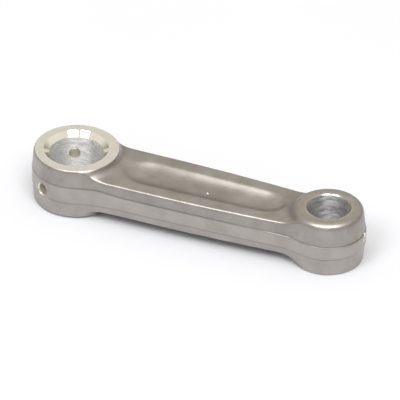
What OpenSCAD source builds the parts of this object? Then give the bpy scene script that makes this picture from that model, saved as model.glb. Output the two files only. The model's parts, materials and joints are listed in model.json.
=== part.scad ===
// Connecting rod of a small two-stroke engine.
// A drop-forged aluminium body with an I-shaped beam, a crankpin eye at one end and a
// piston-pin eye at the other. Each eye is lined with a thin pressed-in bearing bush.
// The origin is the centre of the crankpin bore, halfway through its thickness.
// +X runs along the beam to the piston-pin eye and +Z runs along both bores.

/* [Bores] */
// Distance between the two bore centres
centre_distance = 32; // [28:0.5:45]
// Diameter of the crankpin bore
big_bore_d = 6.5; // [5.5:0.1:6.8]
// Diameter of the piston-pin bore
small_bore_d = 5; // [4:0.1:5.2]
// Wall thickness of the crankpin bush
big_bush_wall = 0.5; // [0.3:0.05:0.7]
// Wall thickness of the piston-pin bush
small_bush_wall = 0.4; // [0.3:0.05:0.6]
// Width of the 45 degree lead-in chamfer of the crankpin bore
big_chamfer = 0.6; // [0.2:0.05:0.7]
// Width of the 45 degree lead-in chamfer of the piston-pin bore
small_chamfer = 0.12; // [0.08:0.01:0.3]

/* [Big end] */
// Thickness of the crankpin eye between its machined faces
big_thickness = 6.4; // [5.5:0.1:8]
// Diameter of the crankpin eye over its parting band
big_d = 10.56; // [10:0.02:12]
// Radius rolled on the rim of the crankpin eye
big_edge_r = 0.27; // [0.1:0.01:0.5]
// Height of the parting band round the crankpin eye
big_band_h = 2.1; // [1:0.1:3]

/* [Small end] */
// Thickness of the piston-pin eye between its machined faces
small_thickness = 6.9; // [5.5:0.1:8]
// Diameter of the piston-pin eye over its parting band
small_d = 8.9; // [8.4:0.02:10]
// Radius rolled on the rim of the piston-pin eye
small_edge_r = 0.4; // [0.1:0.01:0.6]
// Height of the parting band round the piston-pin eye
small_band_h = 1.8; // [1:0.1:3]

/* [Beam] */
// Thickness of the beam
beam_t = 4.2; // [3:0.1:5]
// Width of the beam's flat top halfway between the bores
beam_w = 7.96; // [7:0.02:8.2]
// Radius of the beam's barrelled sides, seen from above
side_r = 320; // [200:10:600]
// Angle by which each side closes towards the small end
side_taper = 1.36; // [0:0.02:2]
// Draft of the beam's sides, in degrees
beam_draft = 13; // [5:1:15]
// Height of the parting band along the beam
beam_band_h = 1.7; // [1:0.1:2.5]
// How far the parting band stands out of the drafted sides
band_step = 0.06; // [0.05:0.01:0.2]
// Fillet between the crankpin eye and the beam, seen from above
big_neck_r = 5; // [3:0.5:8]
// Fillet between the piston-pin eye and the beam, seen from above
small_neck_r = 6; // [3:0.5:8]
// Where the shoulder of the crankpin eye comes down to the beam's face
big_shoulder_x = 5.6; // [5:0.1:6]
// How far the shoulder of the piston-pin eye reaches from its bore centre
small_shoulder_reach = 4.9; // [4.4:0.1:5.3]
// Radius of the fillet of both shoulders
shoulder_r = 1.8; // [1.5:0.1:2.5]

/* [Recess] */
// Radius of the round-bottomed groove in each face of the beam
groove_r = 3.5; // [3:0.1:4.5]
// Depth of the groove below the beam's face
groove_depth = 0.7; // [0.4:0.1:0.9]
// Where the groove's run-out starts, from the crankpin bore
groove_start = 6.4; // [6:0.1:8]
// Where the groove reaches full depth
groove_full = 10; // [9:0.1:12]
// Distance from the groove's round end to the piston-pin bore
groove_gap = 5.5; // [5:0.1:8]

/* [Oil holes] */
// Diameter of the oil holes in the crankpin eye
big_oil_d = 1.4; // [1:0.1:1.8]
// Diameter of the oil hole in the piston-pin eye
small_oil_d = 1; // [0.8:0.1:1.8]
// Angle of the crankpin oil holes away from the beam, to either side
big_oil_angle = 117; // [90:1:150]
// Width of the countersink of each oil hole
oil_sink = 0.2; // [0.1:0.05:0.4]

/* [Hidden] */
$fn = 96;
SIDE_FN = 720;            // the barrelled sides have a very large radius
OVER = 1;                 // how far a cutting tool overshoots a face
EYE_DRAFT = 4.6;          // draft of the two eyes, in degrees
SHOULDER_STEPS = 8;       // flats that make up the fillet of a shoulder
NECK_SINK = 1.015;        // sinks the neck fillets a little, so that they meet at a clear angle

big_r = big_d / 2;
small_r = small_d / 2;
big_h = big_thickness / 2;
small_h = small_thickness / 2;
beam_h = beam_t / 2;
big_bore_r = big_bore_d / 2;
small_bore_r = small_bore_d / 2;
big_seat_r = big_bore_r + big_bush_wall;
small_seat_r = small_bore_r + small_bush_wall;
groove_end = centre_distance - groove_gap;
small_shoulder_x = centre_distance - small_shoulder_reach;
oil_angles = [big_oil_angle, -big_oil_angle];

// Half-width of the beam where its drafted sides would meet the middle plane.
beam_mid_hw = beam_w / 2 + beam_h * tan(beam_draft);
// Half-width of the parting band at the middle of the beam.
beam_band_hw = beam_mid_hw - beam_band_h / 2 * tan(beam_draft) + band_step;
// Centre of a fillet tangent to an eye of radius eye_r and to a side at half-width hw.
function neck_centre(eye_r, hw, r) = [sqrt(pow(eye_r + r, 2) - pow(hw + r, 2)), hw + r];
// Half-width of the band at a distance x along the beam.
function band_hw(x) = beam_band_hw - (x - centre_distance / 2) * tan(side_taper)
    - pow(x - centre_distance / 2, 2) / (2 * side_r);

// Both halves of a shape drawn above the middle plane.
module both_faces() {
    children();
    mirror([0, 0, 1]) children();
}

// Both halves of a shape drawn on the +Y side.
module both_sides() {
    children();
    mirror([0, 1, 0]) children();
}

// Half an eye: a drafted cone with a rolled rim.
module eye_half(r, h, edge_r) {
    rim_r = r - band_step - (h - edge_r) * tan(EYE_DRAFT);
    cylinder(h = h - edge_r, r1 = r - band_step, r2 = rim_r);
    cylinder(h = h, r = rim_r - edge_r);
    translate([0, 0, h - edge_r]) rotate_extrude()
        translate([rim_r - edge_r, 0]) circle(edge_r);
}

// A raised parting band round an eye.
module eye_band(r, band_h) {
    translate([0, 0, -band_h / 2]) cylinder(h = band_h, r = r);
}

// The space inside one barrelled side, from z = 0 up, with the half-width hw at its foot.
module side_space(hw, h, draft) {
    translate([centre_distance / 2, 0, 0]) rotate([0, 0, -side_taper])
        translate([0, hw - side_r, 0])
            cylinder(h = h, r1 = side_r, r2 = side_r - h * tan(draft), $fn = SIDE_FN);
}

// The beam between the bore centres, bounded by its two barrelled sides.
module beam_slab(hw, h, draft) {
    intersection() {
        translate([0, -big_r, 0]) cube([centre_distance, 2 * big_r, h]);
        side_space(hw, h, draft);
        mirror([0, 1, 0]) side_space(hw, h, draft);
    }
}

// Fills the corner between an eye and the beam; the eye is at x = 0 and the beam runs to +X.
module neck(eye_r, hw, r, h, draft) {
    c = neck_centre(eye_r, hw, r);
    cut_r = r * NECK_SINK;
    both_sides() difference() {
        linear_extrude(h) polygon([[0, 0], c, [c[0], 0]]);
        translate([c[0], c[1], -OVER])
            cylinder(h = h + 2 * OVER, r1 = cut_r - OVER * tan(draft),
                r2 = cut_r + (h + OVER) * tan(draft));
    }
}

// Both necks at one level, with the given inset from the parting band.
module necks(h, inset, draft) {
    big_x = neck_centre(big_r, beam_band_hw, big_neck_r)[0];
    neck(big_r - inset, band_hw(big_x) - inset, big_neck_r + inset, h, draft);
    small_x = neck_centre(small_r, band_hw(centre_distance - small_r), small_neck_r)[0];
    translate([centre_distance, 0, 0]) mirror([1, 0, 0])
        neck(small_r - inset, band_hw(centre_distance - small_x) - inset,
            small_neck_r + inset, h, draft);
}

// The upper half of the rod between its bore centres, seen from the side: the flat beam, with
// a hollow shoulder rising to each eye.
module side_profile() {
    rise = [big_h - big_edge_r - beam_h, small_h - small_edge_r - beam_h];
    polygon(concat(
        [[0, 0], [0, beam_h + rise[0]]],
        [for (i = [0:SHOULDER_STEPS]) let (z = rise[0] * (1 - i / SHOULDER_STEPS))
            [big_shoulder_x - shoulder_run(z), beam_h + z]],
        [for (i = [0:SHOULDER_STEPS]) let (z = rise[1] * i / SHOULDER_STEPS)
            [small_shoulder_x + shoulder_run(z), beam_h + z]],
        [[centre_distance, beam_h + rise[1]], [centre_distance, 0]]
    ));
}

// How far a shoulder's fillet has run in by the height z above the beam's face.
function shoulder_run(z) = sqrt(pow(shoulder_r, 2) - pow(shoulder_r - z, 2));

// The round-bottomed groove in the upper face: a tool on an axis above the face, tapered at
// the big end so that the groove runs out gently, and round at the small end.
module groove() {
    axis_h = groove_r - groove_depth;
    run = groove_full - groove_start;
    foot = sqrt(pow(groove_r, 2) - pow(axis_h, 2));
    length = groove_end - foot - groove_start;
    translate([groove_start, 0, beam_h + axis_h]) rotate([0, 90, 0]) rotate_extrude() {
        polygon([[0, 0], [axis_h, 0], [groove_r, run], [groove_r, length], [0, length]]);
        translate([0, length]) intersection() {
            circle(groove_r);
            square(groove_r);
        }
    }
}

// A bore with a lead-in chamfer at each face; chamfer is its width at the bore radius r.
module bore(r, h, chamfer_r) {
    translate([0, 0, -h - OVER]) cylinder(h = 2 * (h + OVER), r = r);
    both_faces() translate([0, 0, h - (chamfer_r - r)])
        cylinder(h = chamfer_r - r + OVER, r1 = r, r2 = chamfer_r + OVER);
}

// One radial oil hole out of an eye of radius eye_r, countersunk where it comes out.
module oil_hole(eye_r, d) {
    rotate([0, 90, 0]) cylinder(h = eye_r + OVER, r = d / 2);
    translate([eye_r - oil_sink, 0, 0]) rotate([0, 90, 0])
        cylinder(h = oil_sink + OVER, r1 = d / 2, r2 = d / 2 + oil_sink + OVER);
}

// All three oil holes, where they stand in the finished rod.
module oil_holes() {
    for (a = oil_angles) rotate([0, 0, a]) oil_hole(big_r, big_oil_d);
    translate([centre_distance, 0, 0]) oil_hole(small_r, small_oil_d);
}

// The upper half of the beam and its necks, with the shoulders and the groove.
module beam_half() {
    h = small_h;
    difference() {
        intersection() {
            union() {
                beam_slab(beam_mid_hw, h, beam_draft);
                necks(h, band_step, beam_draft);
            }
            translate([0, big_r, 0]) rotate([90, 0, 0]) linear_extrude(2 * big_r) side_profile();
        }
        groove();
    }
}

// The forged body before any machining.
module blank() {
    both_faces() {
        eye_half(big_r, big_h, big_edge_r);
        translate([centre_distance, 0, 0]) eye_half(small_r, small_h, small_edge_r);
        beam_half();
    }
    eye_band(big_r, big_band_h);
    translate([centre_distance, 0, 0]) eye_band(small_r, small_band_h);
    translate([0, 0, -beam_band_h / 2]) {
        beam_slab(beam_band_hw, beam_band_h, 0);
        necks(beam_band_h, 0, 0);
    }
}

// The forged body with its seats for the bushes, its chamfers and its oil holes.
module rod_forging() {
    color("darkgray") difference() {
        blank();
        bore(big_seat_r, big_h, big_bore_r + big_chamfer);
        translate([centre_distance, 0, -small_h - OVER])
            cylinder(h = small_thickness + 2 * OVER, r = small_seat_r);
        oil_holes();
    }
}

// Thin bearing bush of the crankpin bore, chamfered with the body after pressing in.
module big_end_bush() {
    color("silver") difference() {
        translate([0, 0, -big_h]) cylinder(h = big_thickness, r = big_seat_r);
        bore(big_bore_r, big_h, big_bore_r + big_chamfer);
        oil_holes();
    }
}

// Thin bearing bush of the piston-pin bore.
module small_end_bush() {
    color("lightgray") difference() {
        translate([centre_distance, 0, -small_h]) cylinder(h = small_thickness, r = small_seat_r);
        translate([centre_distance, 0, 0])
            bore(small_bore_r, small_h, small_bore_r + small_chamfer);
        oil_holes();
    }
}

rod_forging();
big_end_bush();
small_end_bush();
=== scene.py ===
"""The looks of a small two-stroke engine's connecting rod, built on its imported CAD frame.

The rod is a drop forging of aluminium with a thin bearing bush pressed into each eye. The
forging's shape follows a rule, so a Geometry Nodes tree grows it from a distance function,
and the machining that follows on the real one (facing, boring, drilling) is cut from it.
"""

import json
import logging
import math
from dataclasses import dataclass, fields, replace
from enum import Enum
from functools import lru_cache
from typing import ClassVar, Iterable, Optional, Union

import bmesh
import bpy
from mathutils import Matrix, Vector


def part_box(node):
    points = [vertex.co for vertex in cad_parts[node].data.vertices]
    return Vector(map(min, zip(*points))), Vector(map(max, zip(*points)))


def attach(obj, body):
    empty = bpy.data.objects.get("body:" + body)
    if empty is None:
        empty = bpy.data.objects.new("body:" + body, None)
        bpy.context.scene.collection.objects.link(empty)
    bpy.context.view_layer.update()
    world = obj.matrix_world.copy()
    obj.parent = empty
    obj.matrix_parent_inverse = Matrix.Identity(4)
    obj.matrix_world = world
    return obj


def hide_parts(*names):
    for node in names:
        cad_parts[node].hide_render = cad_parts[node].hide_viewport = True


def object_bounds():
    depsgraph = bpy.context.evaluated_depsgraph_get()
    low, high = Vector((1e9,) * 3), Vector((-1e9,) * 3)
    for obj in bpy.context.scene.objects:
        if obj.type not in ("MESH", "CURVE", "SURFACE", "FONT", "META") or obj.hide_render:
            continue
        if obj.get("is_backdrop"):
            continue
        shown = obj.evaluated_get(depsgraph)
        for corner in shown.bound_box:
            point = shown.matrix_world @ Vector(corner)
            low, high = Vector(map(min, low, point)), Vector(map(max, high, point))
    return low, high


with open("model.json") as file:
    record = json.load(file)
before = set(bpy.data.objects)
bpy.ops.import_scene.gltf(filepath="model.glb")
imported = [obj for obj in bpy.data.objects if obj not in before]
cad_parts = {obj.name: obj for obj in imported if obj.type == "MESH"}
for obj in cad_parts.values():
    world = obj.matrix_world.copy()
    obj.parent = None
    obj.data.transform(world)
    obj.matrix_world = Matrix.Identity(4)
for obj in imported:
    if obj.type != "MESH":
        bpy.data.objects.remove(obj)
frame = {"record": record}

LOG = logging.getLogger("connecting_rod")
MM = 0.001
# The mesh attributes that say how near a point is to the corner of the parting band, where shade is
# painted, and whether it is below the band's upper ledge, where light is painted.
LEDGE_SHADE = "parting_ledge"
LOWER_LIGHT = "lower_side"
# Turns an anisotropic highlight across its tangent.
QUARTER_TURN = 0.25
# Most of a Noise texture's values lie between these, as a Map Range node's inputs.
NOISE_SPAN = {"From Min": 0.3, "From Max": 0.7}
# A Wave texture at scale 1 repeats after this much of its coordinate: a tenth of pi.
WAVE_PERIOD = math.pi / 10
# Where a colour Mix node has its two colours among its inputs, and its result.
FIRST, SECOND, MIXED = 6, 7, 2
# How many corners they have.
TRIANGLE, QUAD = 3, 4
Socket = bpy.types.NodeSocket
Corner = tuple[float, float]


# ---------------------------------------------------------------------------------------
# Nodes
# ---------------------------------------------------------------------------------------


def add_node(
    tree: bpy.types.NodeTree,
    kind: str,
    settings: Optional[dict] = None,
    inputs: Optional[dict] = None,
) -> bpy.types.Node:
    """Adds a node with its settings and links.

    Args:
        tree: The tree that gets the node.
        kind: The node's type name.
        settings: Its properties, by name.
        inputs: What goes into its sockets, by socket name or index: a value, or a socket
            to link from.

    Returns:
        The new node.
    """
    node = tree.nodes.new(kind)
    for name, setting in (settings or {}).items():
        setattr(node, name, setting)
    for key, value in (inputs or {}).items():
        if isinstance(value, Socket):
            tree.links.new(value, node.inputs[key])
        else:
            node.inputs[key].default_value = value
    return node


@dataclass(frozen=True)
class Field:
    """A number that a node tree works out at each point, with ordinary arithmetic."""

    tree: bpy.types.NodeTree
    socket: Union[Socket, float]

    def _inputs(self, *others: Union["Field", float]) -> dict[int, Union[Socket, float]]:
        """Returns this number and the others as a node's inputs, by index."""
        terms = enumerate((self, *others))
        return {i: term.socket if isinstance(term, Field) else term for i, term in terms}

    def math(self, operation: str, *others: Union["Field", float]) -> "Field":
        """Puts this number and the others through a Math node.

        Args:
            operation: The Math node's operation.
            others: The node's other inputs.

        Returns:
            The result.
        """
        inputs = self._inputs(*others)
        node = add_node(self.tree, "ShaderNodeMath", {"operation": operation}, inputs)
        return Field(self.tree, node.outputs[0])

    def __add__(self, other: Union["Field", float]) -> "Field":
        """Returns the sum."""
        return self.math("ADD", other)

    def __sub__(self, other: Union["Field", float]) -> "Field":
        """Returns the difference."""
        return self.math("SUBTRACT", other)

    def __rsub__(self, other: float) -> "Field":
        """Returns a plain number less this one."""
        return Field(self.tree, other).math("SUBTRACT", self)

    def __mul__(self, other: Union["Field", float]) -> "Field":
        """Returns the product."""
        return self.math("MULTIPLY", other)

    def __truediv__(self, other: Union["Field", float]) -> "Field":
        """Returns the quotient."""
        return self.math("DIVIDE", other)

    def __neg__(self) -> "Field":
        """Returns the number with its sign changed."""
        return self.math("MULTIPLY", -1.0)

    def above_zero(self) -> "Field":
        """Returns the number, or nought where it is negative."""
        return self.math("MAXIMUM", 0.0)

    def hypot(self, *others: "Field") -> "Field":
        """Works out the length of the vector whose components are this and the others.

        Args:
            others: The other components.

        Returns:
            The length.
        """
        total = self * self
        for other in others:
            total = total + other * other
        return total.math("SQRT")

    def towards(self, other: "Field", share: "Field") -> "Field":
        """Returns this number where the share is 0, the other where it is 1."""
        return self + (other - self) * share

    def union(self, other: "Field", blend: Union["Field", float]) -> "Field":
        """Returns two solids' joint distance, with a fillet of that blend between them."""
        return self.math("SMOOTH_MIN", other, blend)

    def common(self, other: "Field", blend: Union["Field", float]) -> "Field":
        """Returns the distance to what two solids share, its edge rounded by that blend."""
        return self.math("SMOOTH_MAX", other, blend)

    def step(self, start: Union["Field", float], end: Union["Field", float]) -> "Field":
        """Goes smoothly from 0 to 1 as this number goes from start to end.

        Args:
            start: Where the step starts.
            end: Where it ends, which may lie below the start.

        Returns:
            The stepped value.
        """
        settings = {"interpolation_type": "SMOOTHSTEP"}
        node = add_node(self.tree, "ShaderNodeMapRange", settings, self._inputs(start, end))
        return Field(self.tree, node.outputs[0])


# ---------------------------------------------------------------------------------------
# Sizes
# ---------------------------------------------------------------------------------------


def mount(name: str) -> dict:
    """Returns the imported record's mount of that name."""
    return next(m for m in frame["record"]["mounts"] if m["name"] == name)


@dataclass(frozen=True)
class EyeSizes:
    """What the frame gives about one eye, in millimetres from the middle plane."""

    centre_x: float
    outer_r: float
    half_height: float
    bore_r: float
    seat_r: float
    chamfer: float

    @classmethod
    def from_frame(cls, eye: str, outer_r: float) -> "EyeSizes":
        """Reads an eye's sizes off its mounts and its bush.

        Args:
            eye: The eye's name in the record, such as "big_end".
            outer_r: The forging's radius round the eye.

        Returns:
            The eye's sizes.
        """
        bore = mount(f"{eye}_bore")
        centre_x = bore["pos_m"][0] / MM
        half_height = abs(mount(f"{eye}_face")["pos_m"][2]) / MM
        return cls(
            centre_x=centre_x,
            outer_r=outer_r,
            half_height=half_height,
            bore_r=bore["dims"]["r_mm"],
            seat_r=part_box(f"{eye}_bush")[1].x / MM - centre_x,
            chamfer=half_height - bore["dims"]["length_mm"] / 2,
        )


# ---------------------------------------------------------------------------------------
# Finishes
# ---------------------------------------------------------------------------------------


def linear(hex_colour: str) -> tuple[float, ...]:
    """Returns an sRGB hex colour such as "#a1b2c3" as linear RGBA, by the sRGB curve."""
    channels = [int(hex_colour[i : i + 2], 16) / 255 for i in (1, 3, 5)]
    return (*[c / 12.92 if c <= 0.04045 else ((c + 0.055) / 1.055) ** 2.4 for c in channels], 1.0)


@dataclass(frozen=True)
class Surface:
    """A metal's node material while it is built."""

    material: bpy.types.Material
    shader: bpy.types.Node
    # Object coordinates in millimetres from the middle of what the finish is on.
    where: Socket

    @classmethod
    def start(cls, name: str, centre_x: float = 0.0) -> "Surface":
        """Starts a material.

        Args:
            name: The material's name.
            centre_x: Where along the rod its pattern is centred, in millimetres.

        Returns:
            The surface, with nothing but its shader and its coordinates.
        """
        material = bpy.data.materials.new(name)
        material.use_nodes = True
        tree = material.node_tree
        tree.nodes.clear()
        shader = add_node(tree, "ShaderNodeBsdfPrincipled", inputs={"Metallic": 1.0})
        add_node(tree, "ShaderNodeOutputMaterial", inputs={"Surface": shader.outputs[0]})
        coordinates = add_node(tree, "ShaderNodeTexCoord")
        place = add_node(
            tree,
            "ShaderNodeMapping",
            inputs={
                "Vector": coordinates.outputs["Object"],
                "Location": (-centre_x, 0.0, 0.0),
                "Scale": (1 / MM,) * 3,
            },
        )
        return cls(material, shader, place.outputs["Vector"])

    @property
    def tree(self) -> bpy.types.NodeTree:
        """Returns the material's tree."""
        return self.material.node_tree

    def finish(self, colour: Socket, roughness: Socket, normal: Socket) -> bpy.types.Material:
        """Links the finished patterns to the shader.

        Args:
            colour: The colour.
            roughness: The roughness.
            normal: The bumped normal.

        Returns:
            The material.
        """
        for name, socket in (("Base Color", colour), ("Roughness", roughness), ("Normal", normal)):
            self.tree.links.new(socket, self.shader.inputs[name])
        return self.material


@dataclass(frozen=True)
class TumbledForging:
    """Forged aluminium, tumbled in ceramic media after trimming.

    It gives a satin grey skin with a fine dimpled grain and faint cloudy tone. A dark line of
    painted shade runs along the parting band's corners, and the band and the side below it are
    painted lighter.
    """

    name: str = "Tumbled forged aluminium"
    light: str = "#aca7a2"
    dark: str = "#96918c"
    # The dimples are near 0.1 mm, too fine to show, so they are drawn at 0.25 mm.
    grain_mm: float = 0.25
    grain_detail: float = 3.0
    # The scale of the cloudy tone that the media leave.
    cloud_mm: float = 2.5
    cloud_detail: float = 4.0
    roughness: tuple[float, float] = (0.32, 0.46)
    bump: float = 0.12
    bump_mm: float = 0.05
    # Painted shade: a dark line painted along the corner of the parting band, where shade falls,
    # and how much of it is mixed in.
    residue: str = "#4a4640"
    crease_shade_share: float = 0.3
    # Painted light: the band and the side below it are painted brighter than the upper side, to
    # make up for the light that the lower side's downward faces lack.
    lower: str = "#d0cac6"
    lower_light_share: float = 0.2

    def build(self) -> bpy.types.Material:
        """Builds the material, with its grain, its cloudy tone, painted shade along the parting
        band's corners and painted light below its upper ledge.

        Returns:
            The material.
        """
        surface = Surface.start(self.name)
        tree = surface.tree
        patterns = ((self.grain_mm, self.grain_detail), (self.cloud_mm, self.cloud_detail))
        grain, cloud = (
            add_node(
                tree,
                "ShaderNodeTexNoise",
                inputs={"Vector": surface.where, "Scale": 1 / size, "Detail": detail},
            ).outputs[0]
            for size, detail in patterns
        )
        tone = add_node(tree, "ShaderNodeMapRange", inputs={"Value": cloud, **NOISE_SPAN})
        colour = add_node(
            tree,
            "ShaderNodeMix",
            {"data_type": "RGBA"},
            {"Factor": tone.outputs[0], FIRST: linear(self.dark), SECOND: linear(self.light)},
        ).outputs[MIXED]
        # Painted light below the band's upper ledge, then painted shade along the band's corners.
        for attribute, share, tint in (
            (LOWER_LIGHT, self.lower_light_share, self.lower),
            (LEDGE_SHADE, self.crease_shade_share, self.residue),
        ):
            there = add_node(tree, "ShaderNodeAttribute", {"attribute_name": attribute})
            amount = Field(tree, there.outputs["Fac"]) * share
            colour = add_node(
                tree,
                "ShaderNodeMix",
                {"data_type": "RGBA"},
                {"Factor": amount.socket, FIRST: colour, SECOND: linear(tint)},
            ).outputs[MIXED]
        low, high = self.roughness
        rough = add_node(
            tree,
            "ShaderNodeMapRange",
            inputs={"Value": grain, **NOISE_SPAN, "To Min": low, "To Max": high},
        )
        dimples = add_node(
            tree,
            "ShaderNodeBump",
            inputs={"Strength": self.bump, "Distance": self.bump_mm * MM, "Height": grain},
        )
        return surface.finish(colour, rough.outputs[0], dimples.outputs[0])


class Lay(Enum):
    """Which way a tool's marks lie: the Wave texture's type, and its direction setting."""

    RINGS = ("RINGS", "rings_direction")
    HOOPS = ("BANDS", "bands_direction")


@dataclass(frozen=True)
class ToolFinish:
    """Aluminium or bearing metal cut about one of the bores, by facing, boring or reaming.

    It gives a brighter surface with fine marks round the bore, and where the tool has
    chattered, a shimmer of short bright and dark hoops.
    """

    name: str
    light: str
    dark: str
    roughness: tuple[float, float]
    lay: Lay = Lay.RINGS
    # A finishing feed is near 0.05 mm a turn, too fine to show, so it is drawn at 0.2 mm.
    feed_mm: float = 0.2
    # How strongly the marks show, how deep they are, and how far they wander.
    mark: float = 0.08
    mark_mm: float = 0.02
    wander: float = 0.6
    detail: float = 3.0
    # How far the hoops' fine scratches spread a highlight along the bore.
    spread: float = 0.85
    # The size of a chatter mark round the bore and along it, and its depth.
    chatter_mm: tuple[float, float] = (1.0, 1.0)
    chatter_depth_mm: float = 0.0

    @lru_cache(maxsize=None)
    def build(self, centre_x: float) -> bpy.types.Material:
        """Builds the material round a bore, once for all the tools that leave it there.

        Args:
            centre_x: Where the bore's axis is along the rod, in millimetres.

        Returns:
            The material.
        """
        surface = Surface.start(self.name, centre_x)
        tree = surface.tree
        wave_type, direction = self.lay.value
        marks = add_node(
            tree,
            "ShaderNodeTexWave",
            {"wave_type": wave_type, direction: "Z"},
            {
                "Vector": surface.where,
                "Scale": WAVE_PERIOD / self.feed_mm,
                "Distortion": self.wander,
                "Detail": self.detail,
            },
        )
        around, along = (1 / size for size in self.chatter_mm)
        stretched = add_node(
            tree,
            "ShaderNodeMapping",
            inputs={"Vector": surface.where, "Scale": (around, around, along)},
        )
        chatter = add_node(
            tree,
            "ShaderNodeTexNoise",
            inputs={"Vector": stretched.outputs[0], "Scale": 1.0, "Detail": self.detail},
        ).outputs[0]
        colour = add_node(
            tree,
            "ShaderNodeMix",
            {"data_type": "RGBA"},
            {"Factor": chatter, FIRST: linear(self.dark), SECOND: linear(self.light)},
        ).outputs[MIXED]
        low, high = self.roughness
        rough = add_node(
            tree,
            "ShaderNodeMapRange",
            inputs={"Value": chatter, **NOISE_SPAN, "To Min": low, "To Max": high},
        )
        waves = add_node(
            tree,
            "ShaderNodeBump",
            inputs={"Strength": 1.0, "Distance": self.chatter_depth_mm * MM, "Height": chatter},
        )
        bump = add_node(
            tree,
            "ShaderNodeBump",
            inputs={
                "Strength": self.mark,
                "Distance": self.mark_mm * MM,
                "Height": marks.outputs[0],
                "Normal": waves.outputs[0],
            },
        )
        if self.lay is Lay.HOOPS:
            round_bore = add_node(
                tree, "ShaderNodeTangent", {"direction_type": "RADIAL", "axis": "Z"}
            )
            surface.shader.inputs["Anisotropic"].default_value = self.spread
            surface.shader.inputs["Anisotropic Rotation"].default_value = QUARTER_TURN
            tree.links.new(round_bore.outputs[0], surface.shader.inputs["Tangent"])
        return surface.finish(colour, rough.outputs[0], bump.outputs[0])


@dataclass(frozen=True)
class TableTop:
    """Matt white laminate, which gives an even pale ground with soft shadows."""

    name: str = "Matt white table top"
    light: str = "#cecfd4"
    dark: str = "#cacbd0"
    # The tone drifts over about this far.
    drift_mm: float = 33.0
    roughness: float = 0.9
    specular: float = 0.1

    def build(self) -> bpy.types.Material:
        """Builds the material, with a tone that drifts a little.

        Returns:
            The material.
        """
        material = bpy.data.materials.new(self.name)
        material.use_nodes = True
        tree = material.node_tree
        shader = tree.nodes["Principled BSDF"]
        shader.inputs["Roughness"].default_value = self.roughness
        shader.inputs["Specular IOR Level"].default_value = self.specular
        coordinates = add_node(tree, "ShaderNodeTexCoord")
        tone = add_node(
            tree,
            "ShaderNodeTexNoise",
            inputs={"Vector": coordinates.outputs["Object"], "Scale": 1 / (self.drift_mm * MM)},
        )
        colour = add_node(
            tree,
            "ShaderNodeMix",
            {"data_type": "RGBA"},
            {"Factor": tone.outputs[0], FIRST: linear(self.dark), SECOND: linear(self.light)},
        ).outputs[MIXED]
        tree.links.new(colour, shader.inputs["Base Color"])
        return material


# ---------------------------------------------------------------------------------------
# Meshes
# ---------------------------------------------------------------------------------------


def link_object(name: str, mesh: bpy.types.Mesh) -> bpy.types.Object:
    """Puts a mesh in the scene.

    Args:
        name: The object's name.
        mesh: The mesh.

    Returns:
        The new object.
    """
    obj = bpy.data.objects.new(name, mesh)
    bpy.context.scene.collection.objects.link(obj)
    return obj


def apply_modifiers(obj: bpy.types.Object) -> None:
    """Gives an object a plain mesh with its modifiers' work in it, and removes them.

    Args:
        obj: The object.
    """
    view = bpy.context.evaluated_depsgraph_get()
    mesh = bpy.data.meshes.new_from_object(obj.evaluated_get(view))
    obj.modifiers.clear()
    obj.data = mesh


def revolved(
    name: str,
    outline: Iterable[Corner],
    materials: Iterable[bpy.types.Material],
    segments: int = 192,
) -> bpy.types.Object:
    """Turns a closed outline about the Z axis into a solid.

    Args:
        name: The object's name.
        outline: Corners (radius, height) in millimetres, in order round the outline; a
            corner on the axis has radius 0, and repeated corners count once.
        materials: What each side of the outline is made of, from the first corner on. The
            last one given serves for the sides that are left.
        segments: How many steps go round.

    Returns:
        The solid, as an object.
    """
    corners = list(dict.fromkeys(outline))
    sides = list(materials)
    sides += [sides[-1]] * (len(corners) - len(sides))
    slots = list(dict.fromkeys(sides))
    mesh = bmesh.new()
    rings = []
    for radius, height in corners:
        if radius == 0:
            rings.append([mesh.verts.new((0.0, 0.0, height * MM))] * segments)
            continue
        angles = (2 * math.pi * i / segments for i in range(segments))
        ring = [(radius * math.cos(a) * MM, radius * math.sin(a) * MM, height * MM) for a in angles]
        rings.append([mesh.verts.new(point) for point in ring])
    for side, lower, upper in zip(sides, rings, rings[1:] + rings[:1]):
        for i in range(segments):
            j = (i + 1) % segments
            around = list(dict.fromkeys((lower[i], lower[j], upper[j], upper[i])))
            if len(around) >= TRIANGLE:
                face = mesh.faces.new(around)
                face.material_index = slots.index(side)
    bmesh.ops.recalc_face_normals(mesh, faces=mesh.faces)
    data = bpy.data.meshes.new(name)
    mesh.to_mesh(data)
    mesh.free()
    for material in slots:
        data.materials.append(material)
    return link_object(name, data)


def moved(obj: bpy.types.Object, matrix: Matrix) -> bpy.types.Object:
    """Returns the object with its mesh moved, so that the object stays at the origin."""
    obj.data.transform(matrix)
    return obj


def deburr(obj: bpy.types.Object, speck_mm: float = 0.0002) -> None:
    """Merges the specks that a cut leaves in the mesh, and splits its many-sided faces.

    Args:
        obj: The object that was cut.
        speck_mm: Points closer than this are merged.
    """
    mesh = bmesh.new()
    mesh.from_mesh(obj.data)
    bmesh.ops.remove_doubles(mesh, verts=mesh.verts, dist=speck_mm * MM)
    bmesh.ops.dissolve_degenerate(mesh, edges=mesh.edges, dist=speck_mm * MM)
    bmesh.ops.triangulate(mesh, faces=[f for f in mesh.faces if len(f.verts) > QUAD])
    mesh.to_mesh(obj.data)
    mesh.free()


def cut(obj: bpy.types.Object, tools: Iterable[bpy.types.Object]) -> None:
    """Cuts the tools from the object exactly; the cut faces take the tools' materials.

    Args:
        obj: The object to machine.
        tools: The cutting tools' objects, which stay in the scene.
    """
    for tool in tools:
        modifier = obj.modifiers.new("cut", "BOOLEAN")
        modifier.operation = "DIFFERENCE"
        modifier.solver = "EXACT"
        modifier.material_mode = "TRANSFER"
        modifier.object = tool
        apply_modifiers(obj)
        deburr(obj)


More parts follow.
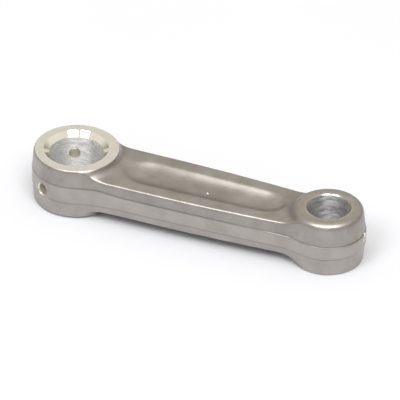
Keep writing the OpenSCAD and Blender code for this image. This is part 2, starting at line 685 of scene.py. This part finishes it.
def crisp_edges(obj: bpy.types.Object, angle_deg: float = 32.0) -> None:
    """Shades a mesh smooth, but for its sharp edges and those between two finishes.

    Args:
        obj: The mesh's object.
        angle_deg: The angle between two faces past which their edge is sharp.
    """
    mesh = bmesh.new()
    mesh.from_mesh(obj.data)
    limit = math.radians(angle_deg)
    for face in mesh.faces:
        face.smooth = True
    for edge in mesh.edges:
        finishes = {face.material_index for face in edge.link_faces}
        edge.smooth = edge.calc_face_angle(0.0) < limit and len(finishes) == 1
    mesh.to_mesh(obj.data)
    mesh.free()


def finish_piece(obj: bpy.types.Object, node: str) -> None:
    """Args:
        obj: The piece.
        node: The CAD node that it stands for.
    """
    crisp_edges(obj)
    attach(obj, "root")
    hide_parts(node)
    LOG.info("%s: %d faces", obj.name, len(obj.data.polygons))


# ---------------------------------------------------------------------------------------
# The forging
# ---------------------------------------------------------------------------------------


@dataclass(frozen=True)
class ForgedBody:
    """The drop-forged body: both eyes and the grooved beam.

    Its fields are the die's sizes in millimetres, and each is an input of the node trees.
    """

    NAME: ClassVar[str] = "forged_body"
    # The grid is finest in height, because the parting band's thin ledges lie level.
    VOXEL_MM: ClassVar[tuple[float, float, float]] = (0.17, 0.135, 0.065)
    MARGIN_MM: ClassVar[float] = 0.6
    # How far to each side the distance's slope is probed, and how often the skin is
    # moved along it. Slopes flatter than the least one would send a point too far.
    PROBE_MM: ClassVar[float] = 0.01
    SNAPS: ClassVar[int] = 2
    LEAST_SLOPE_SQUARED: ClassVar[float] = 0.05
    # The depth under the skin that is taken beyond the grid, where there is no metal.
    BEYOND_GRID: ClassVar[float] = -1.0

    centre_distance: float
    big_r: float
    small_r: float
    big_h: float
    small_h: float
    # The eyes' walls close towards their faces by these slopes.
    big_draft: float = 0.08
    small_draft: float = 0.093
    # Rounding of the eyes' rims above, and the share of it that the underside has. The
    # change is made over this much height, either side of the middle plane.
    big_rim: float = 0.7
    small_rim: float = 1.35
    under_share: float = 0.25
    under_span: float = 0.4
    # Half the beam's thickness, and its half-width at the parting band, halfway along.
    beam_h: float = 2.1
    beam_w: float = 4.32
    beam_draft: float = 0.231
    # The beam's side closes towards the small end, and is barrelled.
    beam_taper: float = 0.0237
    barrel: float = 0.00156
    beam_edge: float = 0.36
    # Where the beam's rounded edges start and end, as distances from the eyes' centres.
    edge_start: float = 2.2
    edge_grown: float = 5.0
    rim_fade: float = 3.0
    rim_end: float = 4.8
    edge_fade: float = 4.4
    edge_end: float = 3.0
    # How far the parting band stands out, half its height, and the height of its ledges.
    band_step: float = 0.045
    band_small_step: float = 0.1
    band_h: float = 0.85
    band_big_h: float = 1.05
    band_small_h: float = 0.85
    band_ledge: float = 0.25
    band_small_ledge: float = 0.17
    # How far the parting plane lies below the middle plane.
    band_low: float = 0.1
    band_small_low: float = 0.25
    # Where the band changes, as distances from the crankpin's and the piston pin's axes.
    band_big_near: float = 4.0
    band_big_far: float = 8.0
    band_small_near: float = 2.0
    band_small_far: float = 16.0
    # How far the painted shade along the corner of each ledge reaches up and down, and how far out
    # of the ledge's middle it lies, as a share of the ledge.
    residue: float = 0.16
    residue_lift: float = 0.3
    # Blends between the eyes and the beam, seen from above.
    big_neck: float = 1.9
    small_neck: float = 2.4
    # Blends of the shoulders that rise from the beam's face to the eyes.
    big_shoulder: float = 2.4
    small_shoulder: float = 2.6
    # Where the big end's sizes give way to the small end's, as shares of the length.
    change_start: float = 0.4
    change_end: float = 0.6
    # The round-bottomed groove in each face. Its depth and half-width are those at
    # groove_mid, and they change along the beam by the curve and the slope below them.
    groove_mid: float = 19.0
    groove_depth: float = 0.7
    groove_width: float = 2.2
    groove_power: float = 2.6
    groove_depth_curve: float = 0.001
    groove_taper: float = 0.02
    groove_brink: float = 0.3
    # Where its run-outs towards the two eyes start, and how steeply they close.
    groove_full: float = 10.0
    groove_end: float = 23.6
    groove_run: float = 0.635
    groove_close: float = 0.68
    # A pip that a pit in the upper die has left on the groove's floor.
    pip_x: float = 16.9
    pip_y: float = -0.25
    pip_r: float = 0.24
    pip_sink: float = 0.05
    pip_blend: float = 0.1
    # What is left on the eyes' faces for the lathe to take off.
    big_facing: float = 0.1
    small_facing: float = 0.03

    @classmethod
    def between(cls, big: EyeSizes, small: EyeSizes) -> "ForgedBody":
        """Describes the forging that joins two eyes.

        Args:
            big: The crankpin eye's sizes.
            small: The piston-pin eye's sizes.

        Returns:
            The forging.
        """
        return cls(
            centre_distance=small.centre_x,
            big_r=big.outer_r,
            small_r=small.outer_r,
            big_h=big.half_height,
            small_h=small.half_height,
        )

    def _tree(self, name: str, outputs: dict[str, str]) -> bpy.types.NodeTree:
        """Makes a Geometry Nodes tree whose inputs are the forging's sizes.

        Args:
            name: The tree's name.
            outputs: Its outputs, as name to socket type.

        Returns:
            The tree.
        """
        tree = bpy.data.node_groups.new(name, "GeometryNodeTree")
        for output, kind in outputs.items():
            tree.interface.new_socket(output, in_out="OUTPUT", socket_type=kind)
        if "Geometry" not in outputs:
            tree.interface.new_socket("Position", in_out="INPUT", socket_type="NodeSocketVector")
        for size in fields(self):
            socket = tree.interface.new_socket(
                size.name, in_out="INPUT", socket_type="NodeSocketFloat"
            )
            socket.default_value = getattr(self, size.name)
        return tree

    def _given(self, node: bpy.types.Node) -> dict[str, Socket]:
        """Returns the forging's sizes by name, as sockets of a Group Input node."""
        return {size.name: node.outputs[size.name] for size in fields(self)}

    def _outline(
        self,
        size: dict[str, Field],
        x: Field,
        y: Field,
        eye_radii: tuple[Field, Field],
        side: Field,
    ) -> Field:
        """Works out the distance to the rod's outline, seen from above.

        Args:
            size: The tree's sizes, by name.
            x: The distance along the rod from the crankpin bore.
            y: The distance from the rod's centre line.
            eye_radii: The crankpin eye's and the piston-pin eye's radius at this height.
            side: The beam's half-width at this height, halfway between the bores.

        Returns:
            The distance, negative inside.
        """
        big_r, small_r = eye_radii
        half = size["centre_distance"] * 0.5
        middle = x - half
        width = side - middle * size["beam_taper"] - middle * middle * size["barrel"]
        beam = (y - width).math("MAXIMUM", middle.math("ABSOLUTE") - half)
        big = x.hypot(y) - big_r
        small = (x - size["centre_distance"]).hypot(y) - small_r
        return beam.union(big, size["big_neck"]).union(small, size["small_neck"])

    def _groove(self, size: dict[str, Field], x: Field, y: Field) -> Field:
        """Works out how deep the groove is.

        Args:
            size: The tree's sizes, by name.
            x: The distance along the rod from the crankpin bore.
            y: The distance from the rod's centre line.

        Returns:
            The depth, nought outside the groove.
        """
        along = x - size["groove_mid"]
        run_out = (size["groove_full"] - x).above_zero() * size["groove_run"]
        close = (x - size["groove_end"]).above_zero() * size["groove_close"]
        width = size["groove_width"] - along * size["groove_taper"]
        share = run_out.hypot(close, y) / width
        depth = size["groove_depth"] - along * along * size["groove_depth_curve"]
        bowl = depth * (1.0 - share.math("POWER", size["groove_power"]))
        return bowl.math("SMOOTH_MAX", 0.0, size["groove_brink"])

    def _distance_tree(self) -> bpy.types.NodeTree:
        """Builds the tree that gives the distance to the forging's skin, negative inside.

        Returns:
            The tree. It also says how near a point is to the corner of the parting band, where
            shade is painted, and whether it is below the band's upper ledge, where light is
            painted.
        """
        outputs = dict.fromkeys(("Distance", LEDGE_SHADE, LOWER_LIGHT), "NodeSocketFloat")
        tree = self._tree("Forging distance", outputs)
        given = add_node(tree, "NodeGroupInput")
        size = {name: Field(tree, socket) for name, socket in self._given(given).items()}
        split = add_node(tree, "ShaderNodeSeparateXYZ", inputs={0: given.outputs["Position"]})
        x, across, level = (Field(tree, split.outputs[axis]) for axis in "XYZ")
        y, z = across.math("ABSOLUTE"), level.math("ABSOLUTE")
        left = size["centre_distance"] - x

        near_big = x.step(size["band_big_far"], size["band_big_near"])
        near_small = left.step(size["band_small_far"], size["band_small_near"])
        low = size["band_low"].towards(size["band_small_low"], near_small)
        band_z = (level + low).math("ABSOLUTE")
        band_h = size["band_h"].towards(size["band_big_h"], near_big)
        band_h = band_h.towards(size["band_small_h"], near_small)
        ledge = size["band_ledge"].towards(size["band_small_ledge"], near_small)
        proud = size["band_step"].towards(size["band_small_step"], near_small)
        proud = proud * (band_z - band_h).step(ledge * -0.5, ledge * 0.5)
        above = (band_z - band_h).above_zero()
        big_r = size["big_r"] - proud - size["big_draft"] * above
        small_r = size["small_r"] - proud - size["small_draft"] * above
        side = size["beam_w"] - proud - size["beam_draft"] * above
        outline = self._outline(size, x, y, (big_r, small_r), side)

        face = z - size["beam_h"] + self._groove(size, x, y)
        top = face.union(x.hypot(y) - big_r, size["big_shoulder"])
        top = top.union(left.hypot(y) - small_r, size["small_shoulder"])

        change = x.step(
            size["centre_distance"] * size["change_start"],
            size["centre_distance"] * size["change_end"],
        )
        big_h, small_h = size["big_h"] + size["big_facing"], size["small_h"] + size["small_facing"]
        cap = z - big_h - (small_h - big_h) * change
        under = level.step(size["under_span"], -size["under_span"])
        rounding = 1.0 - under * (1.0 - size["under_share"])
        rim = size["big_rim"].towards(size["small_rim"], change) * rounding
        grown = x.step(size["edge_start"], size["edge_grown"])
        on_beam = grown * left.step(size["edge_end"], size["edge_fade"])
        faded = x.step(size["rim_fade"], size["rim_end"]) * (1.0 - change)
        shoulder_rim = rim * (1.0 - faded)
        edge = size["beam_edge"] * on_beam * rounding
        whole = outline.common(cap, rim).common(top.common(cap, shoulder_rim), edge)
        pip_h = size["beam_h"] - size["groove_depth"] - size["pip_sink"]
        pip = (x - size["pip_x"]).hypot(across - size["pip_y"], level - pip_h) - size["pip_r"]
        whole = whole.union(pip, size["pip_blend"])

        # Where the painted shade along each ledge's corner goes, and where the painted light below
        # the upper ledge goes.
        corner = (band_z - band_h - ledge * size["residue_lift"]).math("ABSOLUTE")
        ledge_shade = corner.step(size["residue"], 0.0)
        lower = (level + low - band_h).step(ledge * 0.5, ledge * -0.5)
        results = {"Distance": whole.socket, LEDGE_SHADE: ledge_shade.socket, LOWER_LIGHT: lower.socket}
        add_node(tree, "NodeGroupOutput", inputs=results)
        return tree

    def _snap_tree(self, distance: bpy.types.NodeTree) -> bpy.types.NodeTree:
        """Builds the tree that gives the step from a point to the nearest skin.

        Args:
            distance: The distance tree.

        Returns:
            The tree.
        """
        tree = self._tree("Step to the skin", {"Offset": "NodeSocketVector"})
        given = add_node(tree, "NodeGroupInput")
        sizes = self._given(given)

        def probe(offset: tuple[float, ...]) -> Field:
            """Works out the distance a little way off.

            Args:
                offset: How far off, in millimetres.

            Returns:
                The distance there.
            """
            there = add_node(
                tree,
                "ShaderNodeVectorMath",
                {"operation": "ADD"},
                {0: given.outputs["Position"], 1: offset},
            )
            inputs = {"Position": there.outputs[0], **sizes}
            node = add_node(tree, "GeometryNodeGroup", {"node_tree": distance}, inputs)
            return Field(tree, node.outputs["Distance"])

        here = probe((0.0, 0.0, 0.0))
        slope = []
        for axis in range(3):
            step = [0.0, 0.0, 0.0]
            step[axis] = self.PROBE_MM
            rise = probe(tuple(step)) - probe(tuple(-s for s in step))
            slope.append(rise * (0.5 / self.PROBE_MM))
        square = slope[0] * slope[0] + slope[1] * slope[1] + slope[2] * slope[2]
        share = -here / square.math("MAXIMUM", self.LEAST_SLOPE_SQUARED)
        offset = add_node(
            tree,
            "ShaderNodeCombineXYZ",
            inputs={axis: (part * share).socket for axis, part in zip("XYZ", slope)},
        )
        add_node(tree, "NodeGroupOutput", inputs={"Offset": offset.outputs[0]})
        return tree

    def _extent(self) -> tuple[Vector, Vector, list[int]]:
        """Lays out the grid that the blank is grown on.

        Returns:
            The grid's lowest corner, its highest corner and its counts of points.
        """
        top = max(self.big_h + self.big_facing, self.small_h + self.small_facing)
        margin = Vector((self.MARGIN_MM,) * 3)
        low = Vector((-self.big_r, -self.big_r, -top)) - margin
        high = Vector((self.centre_distance + self.small_r, self.big_r, top)) + margin
        cells = [math.ceil((b - a) / v) for a, b, v in zip(low, high, self.VOXEL_MM)]
        high = Vector(a + n * v for a, n, v in zip(low, cells, self.VOXEL_MM))
        return low, high, [n + 1 for n in cells]

    def _blank_tree(self) -> bpy.types.NodeTree:
        """Builds the tree that grows the forging's skin out of the distance.

        Returns:
            The tree, which ends in a real mesh in metres with its finish on.
        """
        distance = self._distance_tree()
        snap = self._snap_tree(distance)
        tree = self._tree("Forged blank", {"Geometry": "NodeSocketGeometry"})
        tree.interface.new_socket("Skin", in_out="INPUT", socket_type="NodeSocketMaterial")
        given = add_node(tree, "NodeGroupInput")
        position = add_node(tree, "GeometryNodeInputPosition").outputs[0]
        inputs = {"Position": position, **self._given(given)}
        depth = add_node(tree, "GeometryNodeGroup", {"node_tree": distance}, inputs)
        low, high, counts = self._extent()
        grid = add_node(
            tree,
            "GeometryNodeVolumeCube",
            inputs={
                "Density": (-Field(tree, depth.outputs["Distance"])).socket,
                "Background": self.BEYOND_GRID,
                "Min": tuple(low),
                "Max": tuple(high),
                **{f"Resolution {axis}": count for axis, count in zip("XYZ", counts)},
            },
        )
        skin = add_node(
            tree,
            "GeometryNodeVolumeToMesh",
            inputs={"Volume": grid.outputs[0], "Threshold": 0.0},
        ).outputs[0]
        for _ in range(self.SNAPS):
            step = add_node(tree, "GeometryNodeGroup", {"node_tree": snap}, inputs)
            skin = add_node(
                tree,
                "GeometryNodeSetPosition",
                inputs={"Geometry": skin, "Offset": step.outputs[0]},
            ).outputs[0]
        # Keeps where shade and light are painted by the parting band, for the forging's material.
        parting = add_node(tree, "GeometryNodeGroup", {"node_tree": distance}, inputs)
        for name in (LEDGE_SHADE, LOWER_LIGHT):
            skin = add_node(
                tree,
                "GeometryNodeStoreNamedAttribute",
                {"data_type": "FLOAT", "domain": "POINT"},
                {"Geometry": skin, "Name": name, "Value": parting.outputs[name]},
            ).outputs[0]
        scaled = add_node(
            tree, "GeometryNodeTransform", inputs={"Geometry": skin, "Scale": (MM,) * 3}
        )
        real = add_node(tree, "GeometryNodeRealizeInstances", inputs={0: scaled.outputs[0]})
        dressed = add_node(
            tree,
            "GeometryNodeSetMaterial",
            inputs={"Geometry": real.outputs[0], "Material": given.outputs["Skin"]},
        )
        add_node(tree, "NodeGroupOutput", inputs={"Geometry": dressed.outputs[0]})
        return tree

    def build(self, skin: TumbledForging) -> bpy.types.Object:
        """Grows the blank as it leaves the die and the tumbler.

        Args:
            skin: The forging's finish.

        Returns:
            The blank, dressed, as an object with a plain mesh.
        """
        obj = link_object(self.NAME, bpy.data.meshes.new(self.NAME))
        modifier = obj.modifiers.new("forged blank", "NODES")
        modifier.node_group = self._blank_tree()
        values = {s.name: getattr(self, s.name) for s in fields(self)}
        values["Skin"] = skin.build()
        for socket in modifier.node_group.interface.items_tree:
            if socket.in_out == "INPUT" and socket.name in values:
                modifier[socket.identifier] = values[socket.name]
        apply_modifiers(obj)
        LOG.info("blank: %d faces", len(obj.data.polygons))
        return obj


# ---------------------------------------------------------------------------------------
# The eyes
# ---------------------------------------------------------------------------------------


@dataclass(frozen=True)
class OilHole:
    """A radial oil way out of an eye, in millimetres from the eye's middle."""

    bearing_deg: float
    height: float
    radius: float
    # Where the drill comes out in the bore; it only has to be inside the bush.
    inner_r: float
    # How much wider the countersink is than the hole, at the eye's outside.
    sink: float = 0.2
    # How far the drill stands out of the eye.
    overshoot: float = 1.0
    SEGMENTS: ClassVar[int] = 48

    def drill(
        self, eye: EyeSizes, wall: bpy.types.Material, countersink: bpy.types.Material
    ) -> bpy.types.Object:
        """Makes the drill with its countersink.

        Args:
            eye: The eye that it drills.
            wall: The finish that it leaves in the hole.
            countersink: The finish that it leaves at the mouth.

        Returns:
            The drill's object, lying where it cuts.
        """
        outer = eye.outer_r + self.overshoot
        outline = [
            (0, self.inner_r),
            (self.radius, self.inner_r),
            (self.radius, eye.outer_r - self.sink),
            (self.radius + self.sink + self.overshoot, outer),
            (0, outer),
        ]
        tool = revolved("oil drill", outline, [wall, wall, countersink], self.SEGMENTS)
        turn = Matrix.Rotation(math.radians(self.bearing_deg), 4, "Z")
        lay = Matrix.Rotation(math.pi / 2, 4, "Y")
        move = Matrix.Translation(Vector((eye.centre_x, 0.0, self.height)) * MM)
        return moved(tool, move @ turn @ lay)


@dataclass(frozen=True)
class Eye:
    """One eye's machining, and the bush that is pressed into it, in millimetres."""

    # What the eye turns on, for the names, and its bush's CAD node.
    pin: str
    node: str
    size: EyeSizes
    oil_holes: tuple[OilHole, ...]
    face: ToolFinish
    rim: ToolFinish
    bearing: ToolFinish
    # Whether the chamfer runs on from the bush into the forging.
    wide_chamfer: bool
    overshoot: float = 1.0
    # The facing tool reaches this far past the eye.
    reach: float = 2.0
    BUSH_SEGMENTS: ClassVar[int] = 256

    @property
    def place(self) -> Matrix:
        """Returns the move to the eye's axis."""
        return Matrix.Translation((self.size.centre_x * MM, 0.0, 0.0))

    @property
    def chamfer_past_bush(self) -> float:
        """Returns how far the chamfer reaches into the forging, or nought."""
        return max(0.0, self.size.bore_r + self.size.chamfer - self.size.seat_r)

    def facing_tools(self) -> list[bpy.types.Object]:
        """Makes the discs that face both sides of the eye.

        Returns:
            The upper disc and the lower one.
        """
        finish = self.face.build(self.size.centre_x)
        wide, low = self.size.outer_r + self.reach, self.size.half_height
        high = low + self.overshoot
        made = []
        for side in (1, -1):
            outline = [(r, side * h) for r, h in ((0, low), (wide, low), (wide, high), (0, high))]
            made.append(moved(revolved("facing tool", outline, [finish]), self.place))
        return made

    def boring_bar(self) -> bpy.types.Object:
        """Makes the tool that bores the bush's seat, and the seat's part of the chamfer.

        Returns:
            The tool, lying where it cuts.
        """
        finish = self.rim if self.wide_chamfer else self.face
        tall = self.size.half_height + self.overshoot
        past = self.chamfer_past_bush + self.overshoot if self.wide_chamfer else 0.0
        seat = self.size.seat_r
        upper = [(seat, tall - past), (seat + past, tall), (0, tall)]
        outline = [(r, -h) for r, h in reversed(upper)] + upper
        bar = revolved("boring bar", outline, [finish.build(self.size.centre_x)])
        return moved(bar, self.place)

    def drills(self, wall: ToolFinish, countersink: ToolFinish) -> list[bpy.types.Object]:
        """Returns the eye's oil drills, which leave those two finishes."""
        finishes = [finish.build(self.size.centre_x) for finish in (wall, countersink)]
        return [hole.drill(self.size, *finishes) for hole in self.oil_holes]

    def bush(self, drills: Iterable[bpy.types.Object]) -> bpy.types.Object:
        """Makes the bush, with the oil holes drilled through it.

        Args:
            drills: The rod's oil drills.

        Returns:
            The bush, dressed.
        """
        size = self.size
        rim_r = min(size.bore_r + size.chamfer, size.seat_r)
        rim_h = size.half_height - self.chamfer_past_bush
        inner = (size.bore_r, size.half_height - size.chamfer)
        upper = [inner, (rim_r, rim_h), (size.seat_r, rim_h)]
        outline = [inner] + [(r, -h) for r, h in upper] + upper[:0:-1]
        finishes = [finish.build(size.centre_x) for finish in (self.bearing, self.rim)]
        bush = revolved(f"{self.pin}_bush", outline, finishes, self.BUSH_SEGMENTS)
        cut(moved(bush, self.place), drills)
        return bush


# ---------------------------------------------------------------------------------------
# The studio
# ---------------------------------------------------------------------------------------


def bearing(azimuth_deg: float, elevation_deg: float) -> Vector:
    """Returns the unit vector from the rod towards that azimuth and elevation."""
    a, e = math.radians(azimuth_deg), math.radians(elevation_deg)
    return Vector((math.sin(a) * math.cos(e), -math.cos(a) * math.cos(e), math.sin(e)))


@dataclass(frozen=True)
class SoftLight:
    """A rectangular soft light, placed by its bearing from the rod's middle."""

    name: str
    # To the right of the camera.
    azimuth_deg: float
    elevation_deg: float
    width_m: float
    height_m: float
    radiance: float
    distance_m: float = 1.2

    def hang(self, target: Vector, camera_azimuth_deg: float) -> None:
        """Hangs the light so that it faces the target.

        Args:
            target: The point it faces.
            camera_azimuth_deg: The azimuth that the light's own counts from.
        """
        data = bpy.data.lights.new(self.name, "AREA")
        data.shape = "RECTANGLE"
        data.size, data.size_y = self.width_m, self.height_m
        data.energy = self.radiance * self.width_m * self.height_m * math.pi
        light = bpy.data.objects.new(self.name, data)
        away = bearing(camera_azimuth_deg + self.azimuth_deg, self.elevation_deg)
        light.location = target + away * self.distance_m
        light.rotation_euler = (-away).to_track_quat("-Z", "Y").to_euler()
        bpy.context.scene.collection.objects.link(light)


@dataclass(frozen=True)
class Studio:
    """A pale table under a window with two panes and a pale ceiling, and the camera."""

    azimuth_deg: float = 21.95
    elevation_deg: float = 34.57
    roll_deg: float = 0.65
    distance_m: float = 0.5633
    lens_mm: float = 431.1
    aim_right_mm: float = -0.138
    aim_up_mm: float = 0.034
    clip_m: tuple[float, float] = (0.01, 10.0)
    horizon: str = "#9a9894"
    sky: str = "#f0ece4"
    # The sine of the elevation at which the horizon's tone has turned into the sky's.
    sky_from: float = 0.5
    table: TableTop = TableTop()
    table_m: float = 1.6
    lights: tuple[SoftLight, ...] = (
        SoftLight("right pane", 16.0, 54.5, width_m=0.55, height_m=0.45, radiance=7.5),
        SoftLight("left pane", -41.5, 52.0, width_m=0.47, height_m=0.45, radiance=7.5),
        SoftLight("ceiling", 0.0, 79.0, width_m=0.9, height_m=0.55, radiance=3.1),
    )

    def _camera(self, middle: Vector) -> None:
        """Sets up the camera.

        Args:
            middle: The point halfway between the bores, which it is aimed beside.
        """
        back = bearing(self.azimuth_deg, self.elevation_deg)
        side = Vector((0.0, 0.0, 1.0)).cross(back).normalized()
        rise = back.cross(side)
        turn = math.radians(self.roll_deg)
        right = math.cos(turn) * side + math.sin(turn) * rise
        up = math.cos(turn) * rise - math.sin(turn) * side
        data = bpy.data.cameras.new("camera")
        data.lens = self.lens_mm
        data.clip_start, data.clip_end = self.clip_m
        camera = bpy.data.objects.new("camera", data)
        aim = middle + (right * self.aim_right_mm + up * self.aim_up_mm) * MM
        matrix = Matrix((right, up, back)).transposed().to_4x4()
        matrix.translation = aim + back * self.distance_m
        camera.matrix_world = matrix
        bpy.context.scene.collection.objects.link(camera)
        bpy.context.scene.camera = camera

    def _floor(self, height: float) -> None:
        """Lays the table top.

        Args:
            height: How high it lies, in metres.
        """
        half = self.table_m / 2
        mesh = bpy.data.meshes.new("table")
        corners = ((-half, -half), (half, -half), (half, half), (-half, half))
        mesh.from_pydata([(x, y, height) for x, y in corners], [], [range(len(corners))])
        mesh.materials.append(self.table.build())
        link_object("table", mesh)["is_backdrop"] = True

    def _room_light(self) -> None:
        """Fills the room with even light; the backdrop that the camera sees is white."""
        world = bpy.data.worlds.new("room")
        bpy.context.scene.world = world
        world.use_nodes = True
        tree = world.node_tree
        tree.nodes.clear()
        path = add_node(tree, "ShaderNodeLightPath")
        direction = add_node(tree, "ShaderNodeTexCoord")
        height = add_node(
            tree, "ShaderNodeSeparateXYZ", inputs={0: direction.outputs["Generated"]}
        )
        blend = Field(tree, height.outputs["Z"]).step(0.0, self.sky_from)
        tone = add_node(
            tree,
            "ShaderNodeMix",
            {"data_type": "RGBA"},
            {"Factor": blend.socket, FIRST: linear(self.horizon), SECOND: linear(self.sky)},
        ).outputs[MIXED]
        room = add_node(tree, "ShaderNodeBackground", inputs={"Color": tone})
        white = add_node(tree, "ShaderNodeBackground", inputs={"Color": linear("#ffffff")})
        mix = add_node(
            tree,
            "ShaderNodeMixShader",
            inputs={
                0: path.outputs["Is Camera Ray"],
                1: room.outputs[0],
                2: white.outputs[0],
            },
        )
        add_node(tree, "ShaderNodeOutputWorld", inputs={"Surface": mix.outputs[0]})

    def set_up(self, middle: Vector, floor_height: float) -> None:
        """Sets up the whole studio round the rod.

        Args:
            middle: The point halfway between the bores.
            floor_height: The height of the table that the rod lies on.
        """
        bpy.context.scene.view_settings.view_transform = "Standard"
        self._camera(middle)
        self._floor(floor_height)
        self._room_light()
        for light in self.lights:
            light.hang(middle, self.azimuth_deg)


# ---------------------------------------------------------------------------------------
# The rod
# ---------------------------------------------------------------------------------------


def rod_eyes() -> tuple[Eye, Eye]:
    """Describes both eyes, with the sizes that the frame gives and the tools' finishes.

    Returns:
        The crankpin eye and the piston-pin eye.
    """
    low, high = (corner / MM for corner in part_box("rod_forging"))
    pin_x = mount("small_end_bore")["pos_m"][0] / MM
    reamed = ToolFinish(
        "Reamed bearing metal, crankpin",
        light="#f4f4f3",
        dark="#cacac9",
        roughness=(0.42, 0.66),
        lay=Lay.HOOPS,
        mark=0.6,
        chatter_mm=(1.0, 0.35),
        chatter_depth_mm=0.12,
    )
    crankpin = Eye(
        pin="crankpin",
        node="big_end_bush",
        size=EyeSizes.from_frame("big_end", -low.x),
        # One hole either side of the rod, at the heights where they happen to be drilled.
        oil_holes=tuple(
            OilHole(bearing_deg=turn, height=height, radius=0.7, inner_r=1.5)
            for turn, height in ((117.0, 0.35), (-117.0, -0.45))
        ),
        face=ToolFinish(
            "Faced aluminium, crankpin eye",
            light="#e8e6e0",
            dark="#d8d5cd",
            roughness=(0.2, 0.3),
        ),
        rim=ToolFinish(
            "Turned chamfer, crankpin",
            light="#f8f4ea",
            dark="#ece6da",
            roughness=(0.03, 0.05),
            mark=0.01,
        ),
        bearing=reamed,
        wide_chamfer=True,
    )
    piston_pin = Eye(
        pin="piston_pin",
        node="small_end_bush",
        size=EyeSizes.from_frame("small_end", high.x - pin_x),
        oil_holes=(OilHole(bearing_deg=0.0, height=0.25, radius=0.5, inner_r=1.0),),
        face=ToolFinish(
            "Faced aluminium, piston-pin eye",
            light="#aca69c",
            dark="#9a958b",
            roughness=(0.4, 0.5),
        ),
        rim=ToolFinish(
            "Turned chamfer, piston pin",
            light="#b4b0a9",
            dark="#a29e97",
            roughness=(0.22, 0.32),
            mark=0.03,
        ),
        bearing=replace(
            reamed,
            name="Reamed bearing metal, piston pin",
            light="#dcdbdd",
            dark="#a2a1a3",
            roughness=(0.4, 0.65),
        ),
        wide_chamfer=False,
    )
    return crankpin, piston_pin


def main() -> None:
    """Builds the rod and the studio."""
    logging.basicConfig(level=logging.INFO, format="%(name)s: %(message)s")
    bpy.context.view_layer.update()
    eyes = rod_eyes()
    crankpin, piston_pin = eyes
    drilled = ToolFinish(
        "Drilled aluminium", light="#ece7da", dark="#bcb7aa", roughness=(0.5, 0.7)
    )
    body = ForgedBody.between(crankpin.size, piston_pin.size).build(TumbledForging())
    # The drills go first: while the blank is whole, each cut leaves a closed mesh.
    drills = [drill for eye in eyes for drill in eye.drills(drilled, crankpin.face)]
    tools = drills + [tool for eye in eyes for tool in eye.facing_tools()]
    tools += [eye.boring_bar() for eye in eyes]
    cut(body, tools)
    bushes = [eye.bush(drills) for eye in eyes]
    for tool in tools:
        bpy.data.objects.remove(tool)

    finish_piece(body, "rod_forging")
    for eye, bush in zip(eyes, bushes):
        finish_piece(bush, eye.node)

    middle = Vector((piston_pin.size.centre_x / 2 * MM, 0.0, 0.0))
    Studio().set_up(middle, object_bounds()[0].z)


if __name__ == "__main__":
    main()
